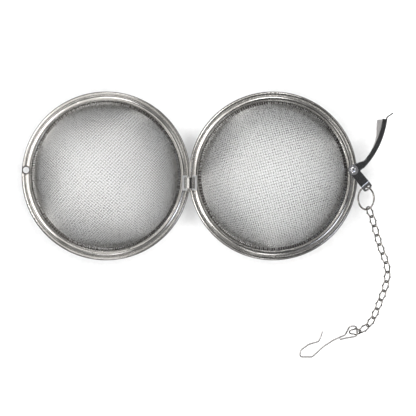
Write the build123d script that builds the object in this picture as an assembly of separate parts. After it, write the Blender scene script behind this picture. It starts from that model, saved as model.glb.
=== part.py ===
from build123d import *
import os
from math import asin, atan2, cos, degrees, radians, sin, sqrt

# Mesh ball tea infuser, opened flat with both domes upwards, in millimetres.
# Design frame: +X from the lid to the base, +Z up out of the domes, z = 0 on the rims' mating
# faces, x = 0 halfway between the two pivots of the loop hinge. finish_frame() then moves the
# origin to the middle of the bounding box, on the surface that the infuser lies on.

# Rims
rim_radius = 32.5  # outside of the rolled lip
rim_centre_x = 32.15  # from the hinge's middle to each rim's centre
mouth_radius = 28.9  # inside edge of the crimp
leaf_radius = 27.6  # inside edge of the bottom leaf, under the mesh's wall
sheet = 0.4  # rim sheet thickness
lip_height = 1.3  # height of the rolled lip
band_crown = 0.2  # rise of the convex band above the lip
groove_depth = 0.3
groove_slope = 0.4  # width of each side of the groove
groove_bend = 0.28
crown_bend = 1.2
chord_gap = 0.05  # each rim stops this far short of x = 0

# Woven mesh, as the closed skin that its wires fill
wire = 0.25
mesh_thickness = 2 * wire
mesh_radius = 27.7
mesh_top = 27.0  # height of the crown above the mating face
flange_radius = 29.6  # the mesh edge that is clamped in the rim

# Loop hinge
bar_radius = 0.5  # straight edge bar of each rim
bar_overlap = 0.6  # length of each end of the bar inside the rim
pivot_x = 0.55  # each bar's axis from x = 0
pivot_z = bar_radius
hinge_y = -2.7  # middle of the hinge
slot_length = 5.8
slot_reach = 2.9  # far side of each slot from x = 0
loop_width = 4.3
loop_reach = 2.0  # half its length across the hinge
loop_height = 1.05  # half its height
loop_sheet = 0.35
loop_edge = 0.08  # rounding of the strap's edges

# Rivet, and the hole in the lid that takes its tail when the infuser is closed
rivet_radius = 30.9  # distance of the rivet from the rim's centre
rivet_angle = 4.2
rivet_shank = 0.8
rivet_head = 2.0
rivet_dome = 0.95
rivet_tail = 1.0
rivet_tail_height = 0.45
lid_hole = 1.25
hole_bevel = 0.5  # width and depth of the countersink round the hole

# Latch, drawn as it stands when closed, in polar coordinates: distance from the base rim's
# centre, and angle from the rivet
clip_sheet = 0.45
clip_edge = 0.15  # rounding of the stamped edges
clip_corner = 0.2  # rounding of the outline's inside corners
clip_play = 0.05
clip_bottom = 1.65  # just clear of the band's crown
clip_top = clip_bottom + clip_sheet
clip_foot = -2.25  # underside of the lower lip: the lowest point of the infuser
disc_radius = 2.1  # round the rivet
web_outer = 33.2
web_start = 9.5
web_end = 43.0
corner_start = 6.0  # the plate's corner beside the web's start
corner_width = 1.2
root_radius = 1.0  # half the width of the arm's root at its far end
flange_inner = 31.25
lip_edge = [(31.75, 11), (31.05, 24), (30.45, 31), (29.5, 38), (29.5, 42)]  # lower lip, inside
strip_width = 3.8
strip_length = 6.9  # rivet to the start of the bend
bend_radius = 1.0
bend_angle = 60
tab_length = 3.9
eye_hole = 1.15
eye_to_end = 1.6
thumb_height = 2.6
thumb_line = [(0, 42.5), (0.1, 44.4), (2.3, 47.3)]  # outwards from the web's middle
thumb_bend = 1.0
latch_open = 54.4  # how far the clip is swung open at rest

# Jump ring
ring_wire = 0.65
ring_half_width = 3.05
ring_half_length = 4.28
ring_gap = 2.0  # degrees of its split
ring_split_at = -24
ring_eye_at = 80  # where its wire passes through the clip's eye, as an angle on the oval
ring_foot_at = -71  # where the first link hangs on it

# Chain
link_wire = 0.55
link_length = 4.95
link_width = 2.95
link_twist = -90  # from one end to the other
link_pitch = 3.72
ring_play = 0.3  # slack between the ring's wire and the first link's
link_headings = [-67, -75, -75, -74, -70, -69, -81, -97, -105, -112, -111, -112, -125, -145, -176]

# Hook. The corners run from the tail beside the shank, round the eye, along the shank and round
# the hook to its tip: x and y from the eye's middle, height above the table, bend radius
hook_wire = 0.65
hook_corners = [
    (-4.70, -3.05, 0.0, 0),
    (-2.43, -2.50, 0.0, 3.0),
    (2.15, -1.74, 0.0, 1.25),
    (1.70, 2.20, 2.3, 1.2),
    (-0.90, 2.12, 2.25, 1.2),
    (-2.60, -1.30, 0.1, 0.8),
    (-7.14, -3.28, 0.0, 8.0),
    (-11.07, -5.83, 0.0, 6.0),
    (-15.36, -9.76, 0.0, 0.9),
    (-20.40, -9.76, 0.0, 1.0),
    (-19.60, -7.00, 0.0, 1.8),
    (-16.60, -4.90, 0.0, 4.0),
    (-12.70, -3.80, 0.0, 1.8),
    (-11.30, 0.15, 0.0, 0),
]
hook_eye_x = 0.6  # the eye's middle from the last link's joint
hook_eye_y = 0.15

# Worked out from the dimensions above
through = 10  # size of a cutter that has to pass right through a rim
table = clip_foot
link_bow = (link_width - link_wire) / 2
link_height = table + abs(link_bow * sin(radians(link_twist / 2))) + link_wire / 2
base_centre = (rim_centre_x, 0)
rivet_xy = (
    rim_centre_x + rivet_radius * cos(radians(rivet_angle)),
    rivet_radius * sin(radians(rivet_angle)),
)


# Rims


def rim_section():
    """Folded sheet, open inwards: bottom leaf, rolled lip, groove, convex band and crimp edge."""
    half = sheet / 2
    roll = (lip_height - sheet) / 2
    top = lip_height - half
    edge = rim_radius - half
    lip_inside = edge - 2 * roll
    band_outside = lip_inside - 2 * groove_slope
    lip_bend = 0.98 * roll
    path = FilletPolyline(
        (leaf_radius, half),
        (edge, half),
        (edge, top),
        (lip_inside, top),
        (lip_inside - groove_slope, top - groove_depth),
        (band_outside, top),
        ((band_outside + mouth_radius) / 2, top + 2 * band_crown),
        (mouth_radius, top),
        radius=[lip_bend, lip_bend, groove_bend, groove_bend, groove_bend, crown_bend],
    )
    return trace(path, line_width=sheet)


def bare_rim():
    """A whole ring about its own centre, cut flat at the hinge and slotted for the loop. The flat's
    lower corner is rounded about the pivot, so that it clears the other rim as the lid folds."""
    ring = revolve(Plane.XZ * rim_section(), Axis.Z)
    chord = -rim_centre_x + chord_gap
    flat = Pos(chord - through / 2, 0, 0) * Box(through, 2 * through, through)
    slot_inner = pivot_x + bar_radius
    slot_width = slot_reach - slot_inner
    slot_x = -rim_centre_x + slot_inner + slot_width / 2
    slot = Pos(slot_x, hinge_y, 0) * Box(slot_width, slot_length, through)
    relief_x = -rim_centre_x + slot_inner / 2
    relief = Pos(relief_x, hinge_y, 0) * Box(2 * slot_inner, slot_length, through)
    along_pivot = Location((-rim_centre_x + pivot_x, hinge_y, pivot_z), (90, 0, 0))
    bar = along_pivot * Cylinder(bar_radius, slot_length + 2 * bar_overlap)
    corner = Pos(chord, hinge_y, 0) * Box(2 * bar_radius, 2 * through, 2 * bar_radius)
    sharp = corner - along_pivot * Cylinder(bar_radius, 2 * through)
    return ring - flat - sharp - slot - relief + bar


def base_rim():
    bore = Pos(*polar(rivet_radius, 0)) * Cylinder(rivet_shank, through)
    return Pos(*base_centre) * (bare_rim() - bore)


def lid_rim():
    at_hole = Pos(*polar(rivet_radius, 0))
    bore = at_hole * Cylinder(lid_hole, through)
    bevel_z = lip_height + band_crown - hole_bevel / 2
    bevel = at_hole * Pos(0, 0, bevel_z) * Cone(lid_hole, lid_hole + hole_bevel, hole_bevel)
    return mirror(Pos(*base_centre) * (bare_rim() - bore - bevel), Plane.YZ)


# Mesh


def dome_section():
    """Clamped flange, short upright wall and spherical dome, as one closed skin."""
    shoulder = clip_bottom
    rise = mesh_top - shoulder
    outside_radius = (mesh_radius**2 + rise**2) / (2 * rise)
    inside_radius = outside_radius - mesh_thickness
    centre = mesh_top - outside_radius
    inner = sqrt(inside_radius**2 - (shoulder - centre) ** 2)

    def dome(radius, foot):
        half_way = (90 + degrees(atan2(shoulder - centre, foot))) / 2
        middle = (radius * cos(radians(half_way)), centre + radius * sin(radians(half_way)))
        return ThreePointArc((foot, shoulder), middle, (0, centre + radius))

    skin = Polyline(
        (inner, shoulder),
        (inner, sheet),
        (flange_radius, sheet),
        (flange_radius, sheet + mesh_thickness),
        (mesh_radius, sheet + mesh_thickness),
        (mesh_radius, shoulder),
    )
    crown = Line((0, mesh_top), (0, mesh_top - mesh_thickness))
    return make_face(skin + dome(outside_radius, mesh_radius) + crown + dome(inside_radius, inner))


def mesh_dome(side):
    dome = revolve(Plane.XZ * dome_section(), Axis.Z)
    return Pos(side * rim_centre_x, 0) * dome


# Hinge and rivet


def hinge_loop():
    """Closed oval strap, loose round both bars."""
    hollow = Ellipse(loop_reach - loop_sheet, loop_height - loop_sheet)
    strap = extrude(Ellipse(loop_reach, loop_height) - hollow, loop_width / 2, both=True)
    sides = strap.faces().sort_by(Axis.Z)
    strap = fillet(sides[0].outer_wire().edges() + sides[-1].outer_wire().edges(), radius=loop_edge)
    return Location((0, hinge_y, pivot_z), (90, 0, 0)) * strap


def latch_rivet():
    """Shank through the rim and the clip, a domed head on top and a clinched tail below."""
    head_at = clip_top + clip_play
    dome_radius = (rivet_head**2 + rivet_dome**2) / (2 * rivet_dome)
    downwards = (Align.CENTER, Align.CENTER, Align.MAX)
    upwards = (Align.CENTER, Align.CENTER, Align.MIN)
    shank = Pos(0, 0, head_at) * Cylinder(rivet_shank, head_at, align=downwards)
    ball = Pos(0, 0, head_at + rivet_dome - dome_radius) * Sphere(dome_radius)
    above = Pos(0, 0, head_at) * Cylinder(2 * rivet_head, 2 * rivet_dome, align=upwards)
    tail = Cylinder(rivet_tail, rivet_tail_height, align=downwards)
    return Pos(*rivet_xy) * (shank + (ball & above) + tail)


# Latch clip


def polar(radius, angle):
    """A point of the closed clip, by its distance from the rim's centre and angle from the rivet."""
    turn = radians(rivet_angle + angle)
    return (radius * cos(turn), radius * sin(turn))


def sector(inner, outer, start, end):
    """Flat ring sector about the rim's centre, with angles from the rivet."""
    middle = (start + end) / 2
    edge = (
        ThreePointArc(polar(outer, start), polar(outer, middle), polar(outer, end))
        + Line(polar(outer, end), polar(inner, end))
        + ThreePointArc(polar(inner, end), polar(inner, middle), polar(inner, start))
        + Line(polar(inner, start), polar(outer, start))
    )
    return make_face(edge)


def clip_plate():
    """Top plate: pivot disc, strip to the eye, tapered root and the arm's upper flange."""
    rivet = polar(rivet_radius, 0)
    disc = Pos(*rivet) * Circle(disc_radius)
    along = Location((*rivet, 0), (0, 0, rivet_angle))
    strip = along * Pos(strip_length / 2, 0) * Rectangle(strip_length, strip_width)
    root_end = Pos(*polar(web_outer - root_radius, web_start)) * Circle(root_radius)
    root = make_hull(disc.edges() + root_end.edges())
    flange = sector(flange_inner, web_outer, web_start, web_end)
    corner = sector(web_outer - corner_width, web_outer, corner_start, web_start)
    outline = disc + strip + root + flange + corner
    outline = offset(offset(outline, clip_corner), -clip_corner)
    bore = Pos(*rivet) * Circle(rivet_shank + clip_play)
    plate = extrude(outline - bore, clip_sheet)
    strip_end = Vector(*(along * Pos(strip_length, 0)).position)
    top = plate.faces().sort_by(Axis.Z)[-1]
    stamped = [edge for edge in top.edges() if abs((edge @ 0.5 - strip_end).length - clip_sheet) > 0.01]
    return Pos(0, 0, clip_bottom) * fillet(stamped, radius=clip_edge)


def clip_lip():
    """Lower lip, which deepens towards the arm's end to catch under the lid's rim."""
    start, end = lip_edge[0][1], lip_edge[-1][1]
    middle = (start + web_end) / 2
    edge = (
        ThreePointArc(polar(web_outer, start), polar(web_outer, middle), polar(web_outer, web_end))
        + Line(polar(web_outer, web_end), polar(lip_edge[-1][0], end))
        + Spline([polar(radius, angle) for radius, angle in reversed(lip_edge)])
        + Line(polar(lip_edge[0][0], start), polar(web_outer, start))
    )
    lip = extrude(make_face(edge), clip_sheet)
    faces = lip.faces().sort_by(Axis.Z)
    return Pos(0, 0, clip_foot) * fillet(faces[0].edges() + faces[-1].edges(), radius=clip_edge)


def clip_web():
    """Upright wall that joins the upper flange and the lower lip round the rims' edges."""
    wall = sector(web_outer - clip_sheet, web_outer, web_start, web_end)
    return Pos(0, 0, clip_foot + clip_edge) * extrude(wall, clip_top - clip_foot - 2 * clip_edge)


def clip_tab():
    """End of the strip, bent down, with the round eye that the jump ring hangs in."""
    neutral = bend_radius - clip_sheet / 2
    bend = JernArc((0, 0), (1, 0), neutral, -bend_angle)
    slope = Line(bend @ 1, bend @ 1 + tab_length * (bend % 1))
    path = Wire(Plane.XZ * (bend + slope))
    stamped = Rectangle(strip_width, clip_sheet)
    upper = stamped.vertices().group_by(Axis.Y)[-1]
    section = fillet(upper, radius=clip_edge)
    tab = sweep(Plane((0, 0, 0), x_dir=(0, 1, 0), z_dir=(1, 0, 0)) * section, path=path)
    end = slope @ 1
    down = radians(bend_angle)
    along, outwards = (cos(down), 0, -sin(down)), (sin(down), 0, cos(down))
    tab_plane = Plane((end.X, 0, end.Y), x_dir=along, z_dir=outwards)
    at_eye = Pos(-eye_to_end, 0)
    past_eye = Pos(through / 2, 0) * Rectangle(through, through)
    trimmed = at_eye * (past_eye - Circle(strip_width / 2)) + at_eye * Circle(eye_hole)
    return tab - extrude(tab_plane * trimmed, 2 * clip_sheet, both=True)


def thumb_tab():
    """Upright sheet that runs on from the web and flares outwards."""
    middle = web_outer - clip_sheet / 2
    line = FilletPolyline(*[polar(middle + out, angle) for out, angle in thumb_line], radius=thumb_bend)
    sheet_up = extrude(trace(line, line_width=clip_sheet), thumb_height)
    return Pos(0, 0, (clip_foot + clip_top - thumb_height) / 2) * sheet_up


def latch_clip():
    """The closed clip, then swung open about the rivet."""
    tab_at = Location((*polar(rivet_radius, 0), (clip_bottom + clip_top) / 2), (0, 0, rivet_angle))
    tab = tab_at * Pos(strip_length, 0, 0) * clip_tab()
    closed = Pos(*base_centre) * (clip_plate() + clip_web() + clip_lip() + tab + thumb_tab())
    pivot = Axis((*rivet_xy, 0), (0, 0, 1))
    return closed.rotate(pivot, -latch_open)


def eye_middle():
    """Middle of the clip's eye, with the clip open."""
    bend = radians(bend_angle)
    neutral = bend_radius - clip_sheet / 2
    reach = strip_length + neutral * sin(bend) + (tab_length - eye_to_end) * cos(bend)
    drop = neutral * (1 - cos(bend)) + (tab_length - eye_to_end) * sin(bend)
    turn = radians(rivet_angle - latch_open)
    return Vector(
        rivet_xy[0] + reach * cos(turn),
        rivet_xy[1] + reach * sin(turn),
        (clip_bottom + clip_top) / 2 - drop,
    )


# Jump ring, chain and hook


def ring_frame():
    """Plane of the jump ring: it slopes from the clip's eye down to the first link."""
    eye = eye_middle()
    eye_turn, foot_turn = radians(ring_eye_at), radians(ring_foot_at)
    reach = ring_half_length * (sin(eye_turn) - sin(foot_turn))
    slope = asin((eye.Z - link_height) / reach)
    up = Vector(0, cos(slope), sin(slope))
    across = Vector(1, 0, 0)
    offset_to_eye = ring_half_width * cos(eye_turn) * across + ring_half_length * sin(eye_turn) * up
    return Plane(origin=eye - offset_to_eye, x_dir=across, z_dir=across.cross(up))


def ring_point(angle):
    """A point of the ring's centre line, in the design frame."""
    turn = radians(angle)
    local = Vector(ring_half_width * cos(turn), ring_half_length * sin(turn), 0)
    return ring_frame().from_local_coords(local)


def swept(wire_diameter, path):
    """Round wire along a path."""
    return sweep(Plane(path @ 0, z_dir=path % 0) * Circle(wire_diameter / 2), path=path)


def jump_ring():
    """Oval split ring."""
    start = ring_split_at + ring_gap / 2
    turn = 360 - ring_gap
    path = EllipticalCenterArc((0, 0), ring_half_width, ring_half_length, start, arc_size=turn)
    return ring_frame() * swept(ring_wire, path)


def chain_link():
    """Curb link about its own middle, along X: two bows turned against each other, joined by
    twisted sides. Half a turn about X brings each half of its wire onto the other."""
    end = (link_length - link_wire) / 2
    straight = end - link_bow
    y = link_bow * cos(radians(link_twist / 2))
    z = link_bow * sin(radians(link_twist / 2))
    eighth = cos(radians(45))
    bow_x, bow_y, bow_z = straight + link_bow * eighth, y * eighth, z * eighth
    back = (-1, 0, 0)
    path = Wire(
        [
            ThreePointArc((end, 0, 0), (bow_x, -bow_y, -bow_z), (straight, -y, -z)),
            Spline((straight, -y, -z), (0, -link_bow, 0), (-straight, -y, z), tangents=[back, back]),
            ThreePointArc((-straight, -y, z), (-bow_x, -bow_y, bow_z), (-end, 0, 0)),
        ]
    )
    half = swept(link_wire, path)
    return half + half.rotate(Axis.X, 180)


def chain_joints():
    """The points where each piece of the chain turns in the one before."""
    turn = radians(link_headings[0])
    inside = (ring_wire + ring_play) / 2
    at = ring_point(ring_foot_at) - inside * Vector(cos(turn), sin(turn), 0)
    joints = [at]
    for heading in link_headings:
        turn = radians(heading)
        at = at + link_pitch * Vector(cos(turn), sin(turn), 0)
        joints.append(at)
    return joints


def hook(last_joint):
    """Bent wire: a closed eye with its tail beside the shank, and an open hook."""
    eye = Vector(last_joint.X + hook_eye_x, last_joint.Y + hook_eye_y, table + hook_wire / 2)
    corners = [eye + Vector(x, y, z) for x, y, z, bend in hook_corners]
    bends = [bend for x, y, z, bend in hook_corners[1:-1]]
    return swept(hook_wire, FilletPolyline(*corners, radius=bends))


# Whole infuser


def all_nodes():
    nodes = {
        "base_rim": base_rim(),
        "base_mesh": mesh_dome(1),
        "lid_rim": lid_rim(),
        "lid_mesh": mesh_dome(-1),
        "hinge_loop": hinge_loop(),
        "latch_rivet": latch_rivet(),
        "latch_clip": latch_clip(),
        "jump_ring": jump_ring(),
    }
    link = chain_link()
    joints = chain_joints()
    for number, heading in enumerate(link_headings, 1):
        middle = (joints[number - 1] + joints[number]) / 2
        nodes[f"chain_link_{number:02d}"] = Location(tuple(middle), (0, 0, heading)) * link
    nodes["hook"] = hook(joints[-1])
    return nodes


def finish_frame(nodes):
    """Moves the origin to the middle of the bounding box, at the height of the lowest point."""
    boxes = [node.bounding_box() for node in nodes.values()]
    low = [min(tuple(box.min)[axis] for box in boxes) for axis in range(3)]
    high = [max(tuple(box.max)[axis] for box in boxes) for axis in range(3)]
    shift = Pos(-(low[0] + high[0]) / 2, -(low[1] + high[1]) / 2, -low[2])
    return {name: shift * node for name, node in nodes.items()}, shift.position


def describe(shift):
    """Prints the joint and mount positions in the finished frame."""

    def at(point):
        return tuple(round(value, 4) for value in Vector(*point) + shift)

    print("base pivot", at((pivot_x, hinge_y, pivot_z)))
    print("lid pivot", at((-pivot_x, hinge_y, pivot_z)))
    print("rivet", at((*rivet_xy, clip_bottom)))
    tangent = ring_point(ring_eye_at + 1) - ring_point(ring_eye_at - 1)
    print("eye", at(eye_middle()), "ring's direction there", tangent.normalized())
    print("base rim centre", at((*base_centre, 0)))
    for number, point in enumerate(chain_joints(), 1):
        print("chain joint", number, at(point))


os.makedirs("parts", exist_ok=True)
finished, moved = finish_frame(all_nodes())
for name, node in finished.items():
    export_step(node, f"parts/{name}.step")
describe(moved)
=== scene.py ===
from math import acos, atan2, cos, exp, pi, radians, sin, sqrt

import bpy
import numpy as np
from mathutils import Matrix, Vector


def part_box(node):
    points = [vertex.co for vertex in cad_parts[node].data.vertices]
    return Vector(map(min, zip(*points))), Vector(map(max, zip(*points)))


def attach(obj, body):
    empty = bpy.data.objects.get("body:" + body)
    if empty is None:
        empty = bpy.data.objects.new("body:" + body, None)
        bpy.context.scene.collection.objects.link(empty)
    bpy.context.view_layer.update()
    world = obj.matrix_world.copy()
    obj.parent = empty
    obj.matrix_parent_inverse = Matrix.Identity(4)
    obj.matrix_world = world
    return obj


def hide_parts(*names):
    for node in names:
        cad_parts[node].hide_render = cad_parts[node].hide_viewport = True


# Mesh ball tea infuser, opened flat. Everything is in metres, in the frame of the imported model.
# The CAD rims, hinge, rivet, latch, ring, chain and hook are shown as they are, with better
# materials. The plain CAD skins of the two domes are replaced by woven wires.

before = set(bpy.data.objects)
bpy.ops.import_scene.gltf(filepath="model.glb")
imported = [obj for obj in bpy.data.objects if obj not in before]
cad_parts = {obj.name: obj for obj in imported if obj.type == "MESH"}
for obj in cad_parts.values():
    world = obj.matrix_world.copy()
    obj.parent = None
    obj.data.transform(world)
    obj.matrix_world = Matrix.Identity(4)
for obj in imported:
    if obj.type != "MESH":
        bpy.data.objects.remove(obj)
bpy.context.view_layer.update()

MM = 0.001

# Woven wire
WIRE = 0.25 * MM  # diameter
WIRE_SIDES = 6
WALL_INSET = 1.9 * MM  # from the edge of the mesh's flange in to the dome's wall
WALL_RISE = 1.25 * MM  # from the underside of the flange up to where the dome's curve starts
FLANGE_BEND = 0.5 * MM  # radius at the foot of the wall, where the wires turn into the crimp
BEND_STEPS = 5
MOUTH = 28.9 * MM  # radius of the crimp's inside edge
# By half: directions of the two sets of wires in degrees, their pitches, and where the mesh is
# pleated, as the middle and the half width of each stretch in degrees
DOMES = {
    "lid": {
        "along": -39,
        "across": 47,
        "pitch_along": 0.91 * MM,
        "pitch_across": 1.04 * MM,
        "pleats": ((28, 10), (95, 12), (184, 12), (235, 10), (262, 12)),
    },
    "base": {
        "along": 105,
        "across": 15,
        "pitch_along": 0.91 * MM,
        "pitch_across": 1.08 * MM,
        "pleats": ((58, 9), (150, 10), (240, 11), (300, 8), (325, 9)),
    },
}
PLEAT_HEIGHT = 0.30 * MM
PLEATS_ROUND = 84  # how many would go round the dome, if it were pleated all round
PLEAT_START = 0.7  # angle from the crown where pleats begin, radians
PLEAT_GROWTH = 0.75  # further angle over which they reach their full height, radians
EDGE_MARGIN = 1.5  # how many pitches the net is laid on past the top of the wall
DRIFT_LIMIT = 0.7  # steepest sideways slope that a wire's end keeps from the dome
DRIFT_KEPT = 0.5  # how much of that slope it keeps on its way down the wall

# View
VIEW_CENTRE = (0.155 * MM, 6.45 * MM)
VIEW_WIDTH = 160.5 * MM
CAMERA_HEIGHT = 1.6
CAMERA_CLIP = 20  # how far the camera sees

# Floor
FLOOR_HEIGHT = -65.0 * MM  # the lid swings 62 mm under the rims as it folds
FLOOR_HALF = 2.0  # half its width
FLOOR_TINTS = ((0.3, (0.86, 0.86, 0.86)), (0.7, (0.90, 0.90, 0.90)))

# Light: angles in degrees, the tilt from straight up; distances and sizes in metres. Each of the
# METAL_LAMPS is an azimuth and a radiance.
WARM, BLUISH = (1.0, 0.985, 0.96), (0.80, 0.86, 1.0)
METAL_LAMPS = ((147, 7.0), (207, 6.5), (87, 4.5), (267, 3.0), (27, 1.5), (327, 1.0))
METAL_LAMP = {"tilt": 42, "distance": 0.60, "size": (0.16, 0.16)}
NEAR_PANEL_SHIFT = (-0.21, 0.10, 0)  # from the middle of the infuser
NEAR_PANEL = {"azimuth": 0, "tilt": 0, "distance": 0.33, "size": (0.38, 0.50), "radiance": 1.1}
LEFT_PANEL = {"azimuth": 176, "tilt": 56, "distance": 0.6, "size": (0.40, 0.30), "radiance": 1.6}
LATCH_LAMP = {"azimuth": -55, "tilt": 28, "distance": 0.25, "size": (0.05, 0.05), "radiance": 5.0}
FLOOR_LAMP = {"tilt": 6, "distance": 0.9, "size": (0.10, 0.10), "radiance": 62}
FLOOR_LAMP_STEP = 45
WORLD_LEVELS = ((0.0, 0.20), (0.25, 0.22), (0.75, 0.20), (0.95, 0.07), (1.0, 0.03))  # by height

# Steels that are the same all over: darkest and lightest colour, smoothest and roughest polish,
# how fine the patches of both are, how fine the grain is and how much it shows
STEELS = {
    "hinge_steel": {
        "dark": (0.62, 0.61, 0.60),
        "light": (0.76, 0.75, 0.73),
        "smooth": 0.06,
        "rough": 0.13,
        "mottle": 1200,
        "grain": 5000,
        "strength": 0.15,
    },
    "rivet_steel": {
        "dark": (0.72, 0.72, 0.75),
        "light": (0.84, 0.84, 0.87),
        "smooth": 0.17,
        "rough": 0.26,
        "mottle": 900,
        "grain": 2600,
        "strength": 0.10,
    },
    "chain_wire": {
        "dark": (0.22, 0.20, 0.18),
        "light": (0.62, 0.59, 0.56),
        "smooth": 0.12,
        "rough": 0.24,
        "mottle": 900,
        "grain": 4000,
        "strength": 0.15,
    },
    "hook_wire": {
        "dark": (0.60, 0.575, 0.56),
        "light": (0.74, 0.715, 0.70),
        "smooth": 0.32,
        "rough": 0.45,
        "mottle": 1100,
        "grain": 4000,
        "strength": 0.15,
    },
}
GRAIN_DEPTH = 0.02 * MM

# Steels that change over the surface: colours and roughness by a value that runs from painted shade
# to bare steel on the rims, or from a dull lip painted lighter as a painted highlight to polished
# plate on the latch, with soft patches of noise in it
# The two dark stops of RIM_TINTS are painted shade.
RIM_TINTS = (
    (0.10, (0.10, 0.09, 0.085)),
    (0.35, (0.16, 0.15, 0.14)),
    (0.72, (0.60, 0.585, 0.56)),
    (0.88, (0.69, 0.675, 0.65)),
)
RIM_ROUGHNESS = ((0.3, 0.45), (0.72, 0.17), (0.88, 0.25))
# The first, light stop of LATCH_TINTS is the lower lip's painted highlight.
LATCH_TINTS = ((0.1, (0.84, 0.83, 0.82)), (0.8, (0.46, 0.46, 0.47)), (0.95, (0.56, 0.56, 0.57)))
LATCH_ROUGHNESS = ((0.1, 0.50), (0.8, 0.17), (0.95, 0.25))


# ------------------------------------------------------------------ camera, floor and lights


def make_camera():
    """Straight down on the opened infuser, from far enough off to be almost parallel."""
    data = bpy.data.cameras.new("camera")
    data.sensor_width = 36
    data.lens = data.sensor_width * CAMERA_HEIGHT / VIEW_WIDTH
    data.clip_end = CAMERA_CLIP
    camera = bpy.data.objects.new("camera", data)
    camera.location = (*VIEW_CENTRE, CAMERA_HEIGHT)
    bpy.context.scene.collection.objects.link(camera)
    bpy.context.scene.camera = camera


def add_panel(name, target, azimuth, tilt, distance, size, radiance, colour=(1, 1, 1)):
    """Soft rectangular light, at an azimuth and at a tilt from straight up, facing its target."""
    data = bpy.data.lights.new(name, "AREA")
    data.shape = "RECTANGLE"
    data.size, data.size_y = size
    data.energy = radiance * pi * size[0] * size[1]
    data.color = colour
    panel = bpy.data.objects.new(name, data)
    turn, lean = radians(azimuth), radians(tilt)
    towards = Vector((sin(lean) * cos(turn), sin(lean) * sin(turn), cos(lean)))
    panel.location = Vector(target) + distance * towards
    panel.rotation_euler = towards.to_track_quat("Z", "Y").to_euler()
    panel.visible_camera = False
    bpy.context.scene.collection.objects.link(panel)
    return panel


def make_world():
    """Dim surroundings, darkest straight overhead."""
    world = bpy.data.worlds.new("studio")
    world.use_nodes = True
    tree = world.node_tree
    background = tree.nodes["Background"]
    direction = tree.nodes.new("ShaderNodeTexCoord").outputs["Generated"]
    split = tree.nodes.new("ShaderNodeSeparateXYZ")
    ramp = tree.nodes.new("ShaderNodeValToRGB")
    tree.links.new(direction, split.inputs[0])
    tree.links.new(split.outputs["Z"], ramp.inputs[0])
    tree.links.new(ramp.outputs[0], background.inputs["Color"])
    fill_ramp(ramp, WORLD_LEVELS)
    bpy.context.scene.world = world


def make_floor():
    """Plain pale floor under the lowest point that the infuser reaches in any pose. The metal
    doesn't reflect it."""
    half, low = FLOOR_HALF, FLOOR_HEIGHT
    mesh = bpy.data.meshes.new("floor")
    corners = [(-half, -half, low), (half, -half, low), (half, half, low), (-half, half, low)]
    mesh.from_pydata(corners, [], [(0, 1, 2, 3)])
    floor = bpy.data.objects.new("floor", mesh)
    bpy.context.scene.collection.objects.link(floor)
    material, tree, shader = new_material("floor_paper")
    noise = add_noise(tree, object_place(tree), 900, detail=2)
    tree.links.new(add_ramp(tree, noise, FLOOR_TINTS), shader.inputs["Base Color"])
    shader.inputs["Roughness"].default_value = 0.9
    shader.inputs["Specular IOR Level"].default_value = 0.1
    mesh.materials.append(material)
    floor.visible_glossy = False
    return floor


def floor_link(name, state, floor):
    """A light linking collection that holds the floor alone, to light only it or all but it."""
    link = bpy.data.collections.new(name)
    link.objects.link(floor)
    link.collection_objects[0].light_linking.link_state = state
    return link


def light_studio(floor):
    """A broad near panel over the upper left and a ring of lamps, weaker on the right, light the
    metal alone. A ring of lamps almost overhead lights the floor alone, so that it stays pale
    round the object and darker straight under it."""
    bpy.context.scene.view_settings.view_transform = "Standard"
    middle = (dome_centre("lid") + dome_centre("base")) / 2
    over = middle + Vector(NEAR_PANEL_SHIFT)
    low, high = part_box("latch_clip")
    metal_lights = [
        add_panel(f"lamp_{azimuth}", middle, azimuth, radiance=radiance, **METAL_LAMP)
        for azimuth, radiance in METAL_LAMPS
    ]
    metal_lights.append(add_panel("near_panel", over, colour=WARM, **NEAR_PANEL))
    metal_lights.append(add_panel("left_panel", middle, colour=WARM, **LEFT_PANEL))
    metal_lights.append(add_panel("cool", (low + high) / 2, colour=BLUISH, **LATCH_LAMP))
    not_floor = floor_link("not_floor", "EXCLUDE", floor)
    for light in metal_lights:
        light.light_linking.receiver_collection = not_floor
    only_floor = floor_link("only_floor", "INCLUDE", floor)
    for azimuth in range(0, 360, FLOOR_LAMP_STEP):
        lamp = add_panel(f"floor_lamp_{azimuth}", middle, azimuth, **FLOOR_LAMP)
        lamp.light_linking.receiver_collection = only_floor


# ------------------------------------------------------------------ material helpers


def new_material(name):
    material = bpy.data.materials.new(name)
    material.use_nodes = True
    tree = material.node_tree
    return material, tree, tree.nodes["Principled BSDF"]


def new_metal(name):
    material, tree, shader = new_material(name)
    shader.inputs["Metallic"].default_value = 1.0
    return material, tree, shader


def object_place(tree):
    return tree.nodes.new("ShaderNodeTexCoord").outputs["Object"]


def add_vector_math(tree, operation, first, second=None):
    node = tree.nodes.new("ShaderNodeVectorMath")
    node.operation = operation
    tree.links.new(first, node.inputs[0])
    if second is not None:
        if hasattr(second, "is_output"):
            tree.links.new(second, node.inputs[1])
        else:
            node.inputs[1].default_value = second
    return node


def flat_offset(tree, centre):
    """Where a point lies from a centre, seen from above."""
    away = add_vector_math(tree, "SUBTRACT", object_place(tree), tuple(centre)).outputs[0]
    return add_vector_math(tree, "MULTIPLY", away, (1, 1, 0)).outputs[0]


def flat_distance(tree, centre):
    return add_vector_math(tree, "LENGTH", flat_offset(tree, centre)).outputs["Value"]


def ring_place(tree, centre, around, across):
    """Coordinates that run round a centre: `around` and `across` say how fast they change."""
    flat = flat_offset(tree, centre)
    direction = add_vector_math(tree, "NORMALIZE", flat).outputs[0]
    turned = add_vector_math(tree, "MULTIPLY", direction, (around, around, around)).outputs[0]
    distance = add_vector_math(tree, "LENGTH", flat).outputs["Value"]
    stretch = tree.nodes.new("ShaderNodeCombineXYZ")
    tree.links.new(distance, stretch.inputs["Z"])
    radial = add_vector_math(tree, "MULTIPLY", stretch.outputs[0], (0, 0, across)).outputs[0]
    return add_vector_math(tree, "ADD", turned, radial).outputs[0]


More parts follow.
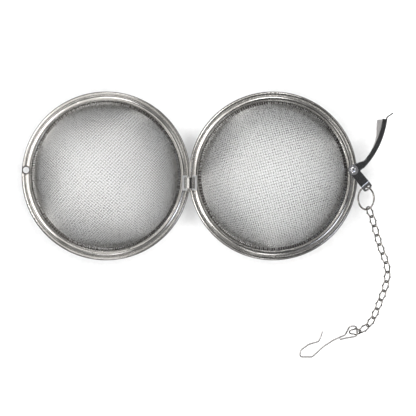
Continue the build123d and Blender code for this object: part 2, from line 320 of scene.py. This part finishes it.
def add_noise(tree, place, scale, detail=3.0, roughness=0.5):
    noise = tree.nodes.new("ShaderNodeTexNoise")
    tree.links.new(place, noise.inputs["Vector"])
    noise.inputs["Scale"].default_value = scale
    noise.inputs["Detail"].default_value = detail
    noise.inputs["Roughness"].default_value = roughness
    return noise.outputs["Fac"]


def fill_ramp(ramp, stops):
    """Gives a ramp its colours, or greys given as single numbers, by position."""
    elements = ramp.color_ramp.elements
    while len(elements) < len(stops):
        elements.new(0.5)
    for element, (at, colour) in zip(elements, stops):
        element.position = at
        element.color = (*colour, 1) if hasattr(colour, "__len__") else (colour,) * 3 + (1,)


def add_ramp(tree, value, stops):
    ramp = tree.nodes.new("ShaderNodeValToRGB")
    tree.links.new(value, ramp.inputs[0])
    fill_ramp(ramp, stops)
    return ramp.outputs[0]


def add_bump(tree, shader, height, strength, distance, before=None):
    bump = tree.nodes.new("ShaderNodeBump")
    bump.inputs["Strength"].default_value = strength
    bump.inputs["Distance"].default_value = distance
    tree.links.new(height, bump.inputs["Height"])
    if before is not None:
        tree.links.new(before, bump.inputs["Normal"])
    tree.links.new(bump.outputs[0], shader.inputs["Normal"])
    return bump.outputs[0]


def steel(name, dark, light, smooth, rough, mottle):
    """Metal whose colour and roughness vary in soft patches."""
    material, tree, shader = new_metal(name)
    patches = add_noise(tree, object_place(tree), mottle, detail=4)
    colour = add_ramp(tree, patches, ((0.35, dark), (0.65, light)))
    roughness = add_ramp(tree, patches, ((0.3, smooth), (0.7, rough)))
    tree.links.new(colour, shader.inputs["Base Color"])
    tree.links.new(roughness, shader.inputs["Roughness"])
    return material, tree, shader


def add_step(tree, value, start, end):
    """0 at start, rising or falling to 1 at end, and level beyond both."""
    step = tree.nodes.new("ShaderNodeMapRange")
    step.inputs["From Min"].default_value = start
    step.inputs["From Max"].default_value = end
    tree.links.new(value, step.inputs["Value"])
    return step.outputs[0]


def add_math(tree, operation, first, second, third=None):
    node = tree.nodes.new("ShaderNodeMath")
    node.operation = operation
    for socket, value in zip(node.inputs, (first, second, third)):
        if value is None:
            continue
        if hasattr(value, "is_output"):
            tree.links.new(value, socket)
        else:
            socket.default_value = value
    return node.outputs[0]


def object_height(tree):
    split = tree.nodes.new("ShaderNodeSeparateXYZ")
    tree.links.new(object_place(tree), split.inputs[0])
    return split.outputs["Z"]


def lid_hole():
    """Where the lid's hole is: the mirror image of the rivet in the hinge."""
    hinge_low, hinge_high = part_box("hinge_loop")
    low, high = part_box("latch_rivet")
    return (hinge_low.x + hinge_high.x - (low.x + high.x) / 2, (low.y + high.y) / 2, 0)


def rim_steel(side):
    """Stamped sheet with drawing marks round the ring and a slightly wavy surface. It is painted
    near-black as painted shade on top of the bottom leaf, where the mesh lies, and round the lid's
    hole."""
    material, tree, shader = new_metal(f"{side}_rim_steel")
    centre = dome_centre(side)
    distance = flat_distance(tree, centre)
    outside = add_step(tree, distance, MOUTH - 0.25 * MM, MOUTH + 0.05 * MM)
    under = add_step(tree, object_height(tree), centre.z - 0.1 * MM, centre.z - 0.3 * MM)
    # 0 where the rim is painted near-black as shade: on the bottom leaf under the mesh and round
    # the lid's hole
    not_painted_shade = add_math(tree, "MAXIMUM", outside, under)
    if side == "lid":
        # painted shade round the lid's hole, in place of a dimple in the band
        round_hole = add_step(tree, flat_distance(tree, lid_hole()), 1.4 * MM, 2.0 * MM)
        not_painted_shade = add_math(tree, "MINIMUM", not_painted_shade, round_hole)
    patches = add_noise(tree, object_place(tree), 260, detail=4)
    value = add_math(tree, "MULTIPLY_ADD", not_painted_shade, 0.6, add_math(tree, "MULTIPLY", patches, 0.4))
    tree.links.new(add_ramp(tree, value, RIM_TINTS), shader.inputs["Base Color"])
    tree.links.new(add_ramp(tree, value, RIM_ROUGHNESS), shader.inputs["Roughness"])
    drawn = add_noise(tree, ring_place(tree, centre, 3, 9000), 1.0, detail=2)
    waves = add_noise(tree, ring_place(tree, centre, 18, 260), 1.0, detail=3)
    bump = add_bump(tree, shader, waves, 0.3, 0.03 * MM)
    add_bump(tree, shader, drawn, 0.2, 0.006 * MM, bump)
    return material


def mesh_steel(side):
    dark, light = (0.54, 0.535, 0.525), (0.70, 0.695, 0.68)
    material, tree, shader = steel(f"{side}_mesh_wire", dark, light, 0.22, 0.34, 2500)
    scratches = add_noise(tree, object_place(tree), 9000, detail=1)
    add_bump(tree, shader, scratches, 0.2, 0.01 * MM)
    return material


def plain_steel(name):
    look = dict(STEELS[name])
    grain, strength = look.pop("grain"), look.pop("strength")
    material, tree, shader = steel(name, **look)
    fine = add_noise(tree, object_place(tree), grain, detail=3)
    add_bump(tree, shader, fine, strength, GRAIN_DEPTH)
    return material


def latch_steel():
    """Polished plate; the lower lip, under the plate, is rougher and painted lighter, a painted
    highlight.
    """
    material, tree, shader = new_metal("latch_steel")
    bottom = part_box("latch_clip")[0].z
    # 0 on the lower lip, which is painted lighter as a painted highlight, 1 on the polished plate
    polished_not_painted_lip = add_step(tree, object_height(tree), bottom + 0.5 * MM, bottom + 1.6 * MM)
    patches = add_noise(tree, object_place(tree), 700, detail=4)
    mottled = add_math(tree, "MULTIPLY", patches, 0.25)
    value = add_math(tree, "MULTIPLY_ADD", polished_not_painted_lip, 0.75, mottled)
    tree.links.new(add_ramp(tree, value, LATCH_TINTS), shader.inputs["Base Color"])
    tree.links.new(add_ramp(tree, value, LATCH_ROUGHNESS), shader.inputs["Roughness"])
    fine = add_noise(tree, object_place(tree), 2200, detail=3)
    add_bump(tree, shader, fine, 0.1, GRAIN_DEPTH)
    return material


def dress_cad():
    """Materials of the CAD nodes that are shown as they are."""
    chain = plain_steel("chain_wire")
    looks = {
        "hinge_loop": plain_steel("hinge_steel"),
        "latch_rivet": plain_steel("rivet_steel"),
        "latch_clip": latch_steel(),
        "jump_ring": chain,
        "hook": plain_steel("hook_wire"),
        "base_rim": rim_steel("base"),
        "lid_rim": rim_steel("lid"),
    }
    for name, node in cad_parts.items():
        material = chain if name.startswith("chain_link") else looks.get(name)
        if material is not None:
            node.data.materials.clear()
            node.data.materials.append(material)


# ------------------------------------------------------------------ woven domes


def dome_centre(side):
    low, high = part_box(f"{side}_mesh")
    return Vector(((low.x + high.x) / 2, (low.y + high.y) / 2, low.z))


class Dome:
    """Sphere through the crown and the top of the wall, at the middle of the crossing wires."""

    def __init__(self, side):
        low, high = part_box(f"{side}_mesh")
        self.centre = dome_centre(side)
        self.flange = (high.x - low.x) / 2 - WIRE
        self.wall = (high.x - low.x) / 2 - WALL_INSET - WIRE
        self.foot = WIRE  # height of the wires in the flange, above its underside
        rise = high.z - low.z - WALL_RISE - WIRE
        self.radius = (self.wall**2 + rise**2) / (2 * rise)
        self.middle = high.z - low.z - WIRE - self.radius  # height of the sphere's centre
        self.end = pi / 2 - atan2(WALL_RISE - self.middle, self.wall)  # angle from the crown
        self.pleats = [(radians(at), radians(width)) for at, width in DOMES[side]["pleats"]]

    def pleat(self, turn, lean):
        """How far the pleats push the mesh out, at an angle round and an angle from the crown."""
        grown = min(max((lean - PLEAT_START) / PLEAT_GROWTH, 0), 1) ** 2
        near = 0
        for at, width in self.pleats:
            apart = (turn - at + pi) % (2 * pi) - pi
            near += exp(-(apart**2) / width**2)
        return PLEAT_HEIGHT * grown * min(near, 1) * sin(PLEATS_ROUND * turn)


def angles(unit):
    """Of a direction: the angle round and the angle from the crown."""
    return atan2(unit[1], unit[0]), acos(min(unit[2], 1))


def great_circle(angle, steps, pitch, radius):
    """The point some steps from the crown, in one direction, on a sphere about the origin."""
    turn, lean = radians(angle), steps * pitch / radius
    return radius * np.array([sin(lean) * cos(turn), sin(lean) * sin(turn), cos(lean)])


def next_knot(back, first, second, first_gap, second_gap, radius):
    """The point of the sphere that lies first_gap from `first` and second_gap from `second`,
    on the far side from `back`."""
    # Two planes hold the sphere's points at those distances. They meet in a line, and `base` is
    # its point nearest to the sphere's centre.
    a = np.dot(first, first) + radius**2 - first_gap**2
    b = np.dot(second, second) + radius**2 - second_gap**2
    rows = np.array([2 * first, 2 * second])
    base, *_ = np.linalg.lstsq(rows, np.array([a, b]), rcond=None)
    line = np.cross(first, second)
    line /= np.linalg.norm(line)
    reach = radius**2 - base @ base
    if reach < 0 or np.linalg.norm(second - first) > first_gap + second_gap:
        return None
    ends = [base + sqrt(reach) * line, base - sqrt(reach) * line]
    return max(ends, key=lambda end: np.linalg.norm(end - back))


def weave(dome, cloth):
    """Knots of a net of equal meshes laid on the sphere, by (step along, step across). Two rows
    through the crown come first, and each quarter between them is filled outwards."""
    radius = dome.radius
    gap_i = 2 * radius * sin(cloth["pitch_across"] / radius / 2)
    gap_j = 2 * radius * sin(cloth["pitch_along"] / radius / 2)
    limit = cos(dome.end + EDGE_MARGIN * cloth["pitch_across"] / radius) * radius
    reach = int(pi / 2 * radius / cloth["pitch_along"]) + 4
    knots = {}
    for step in range(-reach, reach + 1):
        for key, angle, pitch in (
            ((step, 0), cloth["along"], cloth["pitch_across"]),
            ((0, step), cloth["across"], cloth["pitch_along"]),
        ):
            point = great_circle(angle, step, pitch, radius)
            if point[2] > limit:
                knots[key] = point
    for way_i in (1, -1):
        for way_j in (1, -1):
            for i in range(reach):
                for j in range(reach):
                    back = knots.get((i * way_i, j * way_j))
                    beside = knots.get(((i + 1) * way_i, j * way_j))
                    above = knots.get((i * way_i, (j + 1) * way_j))
                    if back is None or beside is None or above is None:
                        continue
                    point = next_knot(back, beside, above, gap_j, gap_i, radius)
                    if point is not None and point[2] > limit:
                        knots[((i + 1) * way_i, (j + 1) * way_j)] = point
    return knots


def wire_path(dome, points, offsets):
    """One wire: over and under its neighbours on the dome, down the wall and into the crimp.
    Returns its points, from the dome's centre, and the directions away from the surface."""
    heights = np.array([point[2] for point in points])
    inside = heights >= cos(dome.end) * dome.radius
    if inside.sum() < 2:
        return None
    start, stop = np.argmax(inside), len(inside) - np.argmax(inside[::-1])
    path, away = [], []
    for k in range(start, stop):
        unit = points[k] / dome.radius
        path.append(unit * (dome.radius + offsets[k] + dome.pleat(*angles(unit))))
        away.append(unit)
        if k + 1 < stop:
            middle = points[k] + points[k + 1]
            middle /= np.linalg.norm(middle)
            path.append(middle * (dome.radius + dome.pleat(*angles(middle))))
            away.append(middle)
    path = [point + np.array([0, 0, dome.middle]) for point in path]
    head, head_away = skirt(dome, path[0], path[1] - path[0])
    tail, tail_away = skirt(dome, path[-1], path[-2] - path[-1])
    return head[::-1] + path + tail, head_away[::-1] + away + tail_away


def skirt(dome, last, inwards):
    """The end of a wire: on down the dome to the wall's foot, round a bend and out flat."""
    turn = atan2(last[1], last[0])
    flat = np.array([cos(turn), sin(turn), 0])
    sideways = np.array([-sin(turn), cos(turn), 0])
    slope = -float(np.dot(inwards, sideways) / np.linalg.norm(inwards))
    drift = np.clip(slope, -DRIFT_LIMIT, DRIFT_LIMIT) * DRIFT_KEPT
    bend_top = dome.foot + FLANGE_BEND
    pleat = dome.pleat(turn, pi / 2)
    spots = [(dome.wall + pleat, bend_top, flat)]
    for step in range(1, BEND_STEPS + 1):
        lean = pi / 2 * step / BEND_STEPS
        out = dome.wall + pleat * cos(lean) + FLANGE_BEND * (1 - cos(lean))
        up = bend_top - FLANGE_BEND * sin(lean)
        spots.append((out, up, flat * cos(lean) + np.array([0, 0, sin(lean)])))
    spots.append((dome.flange, dome.foot, np.array([0.0, 0, 1])))
    path, away = [], []
    for out, up, normal in spots:
        slide = drift * (last[2] - up)
        path.append(flat * out + sideways * slide + np.array([0, 0, up]))
        away.append(normal)
    return path, away


def tube_rings(points, away, radius):
    """Rings of points round a wire's path, with their first point on its outer side."""
    points, away = np.array(points), np.array(away)
    along = np.gradient(points, axis=0)
    along /= np.linalg.norm(along, axis=1)[:, None]
    up = away - along * (away * along).sum(1)[:, None]
    up /= np.linalg.norm(up, axis=1)[:, None]
    side = np.cross(along, up)
    turns = np.arange(WIRE_SIDES) * 2 * pi / WIRE_SIDES
    ring = up[:, None] * np.cos(turns)[None, :, None] + side[:, None] * np.sin(turns)[None, :, None]
    return points[:, None] + radius * ring


def wires_mesh(name, wires, centre):
    """One mesh of many round wires, each closed at its ends."""
    vertices, faces = [], []
    count = 0
    for points, away in wires:
        rings = tube_rings(points, away, WIRE / 2)
        length = len(rings)
        vertices.append(rings.reshape(-1, 3))
        index = count + np.arange(length * WIRE_SIDES).reshape(length, WIRE_SIDES)
        here, there = index[:-1], index[1:]
        quads = np.stack(
            [here, np.roll(here, -1, axis=1), np.roll(there, -1, axis=1), there], axis=-1
        )
        faces.extend(quads.reshape(-1, 4).tolist())
        faces.append(index[0][::-1].tolist())
        faces.append(index[-1].tolist())
        count += length * WIRE_SIDES
    mesh = bpy.data.meshes.new(name)
    mesh.from_pydata((np.concatenate(vertices) + np.array(centre)).tolist(), [], faces)
    mesh.shade_smooth()
    mesh.update()
    piece = bpy.data.objects.new(name, mesh)
    bpy.context.scene.collection.objects.link(piece)
    return piece


def woven_dome(side, body):
    """Wires in place of the CAD skin, in one piece for each direction."""
    cloth, dome = DOMES[side], Dome(side)
    knots = weave(dome, cloth)
    material = mesh_steel(side)
    families = {"warp": {}, "weft": {}}
    for i, j in knots:
        families["warp"].setdefault(j, []).append(i)
        families["weft"].setdefault(i, []).append(j)
    for family, rows in families.items():
        wires = []
        for row, steps in sorted(rows.items()):
            steps.sort()
            keys = [(step, row) if family == "warp" else (row, step) for step in steps]
            points = [knots[key] for key in keys]
            # over and under in turn, and the two families on opposite sides at every knot
            sign = 1 if family == "warp" else -1
            offsets = [sign * (1 if sum(key) % 2 else -1) * WIRE / 2 for key in keys]
            wire = wire_path(dome, points, offsets)
            if wire is not None:
                wires.append(wire)
        piece = wires_mesh(f"{side}_mesh_{family}", wires, dome.centre)
        piece.data.materials.append(material)
        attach(piece, body)
        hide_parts(f"{side}_mesh")


make_camera()
make_world()
light_studio(make_floor())
dress_cad()
woven_dome("lid", "lid")
woven_dome("base", "base")
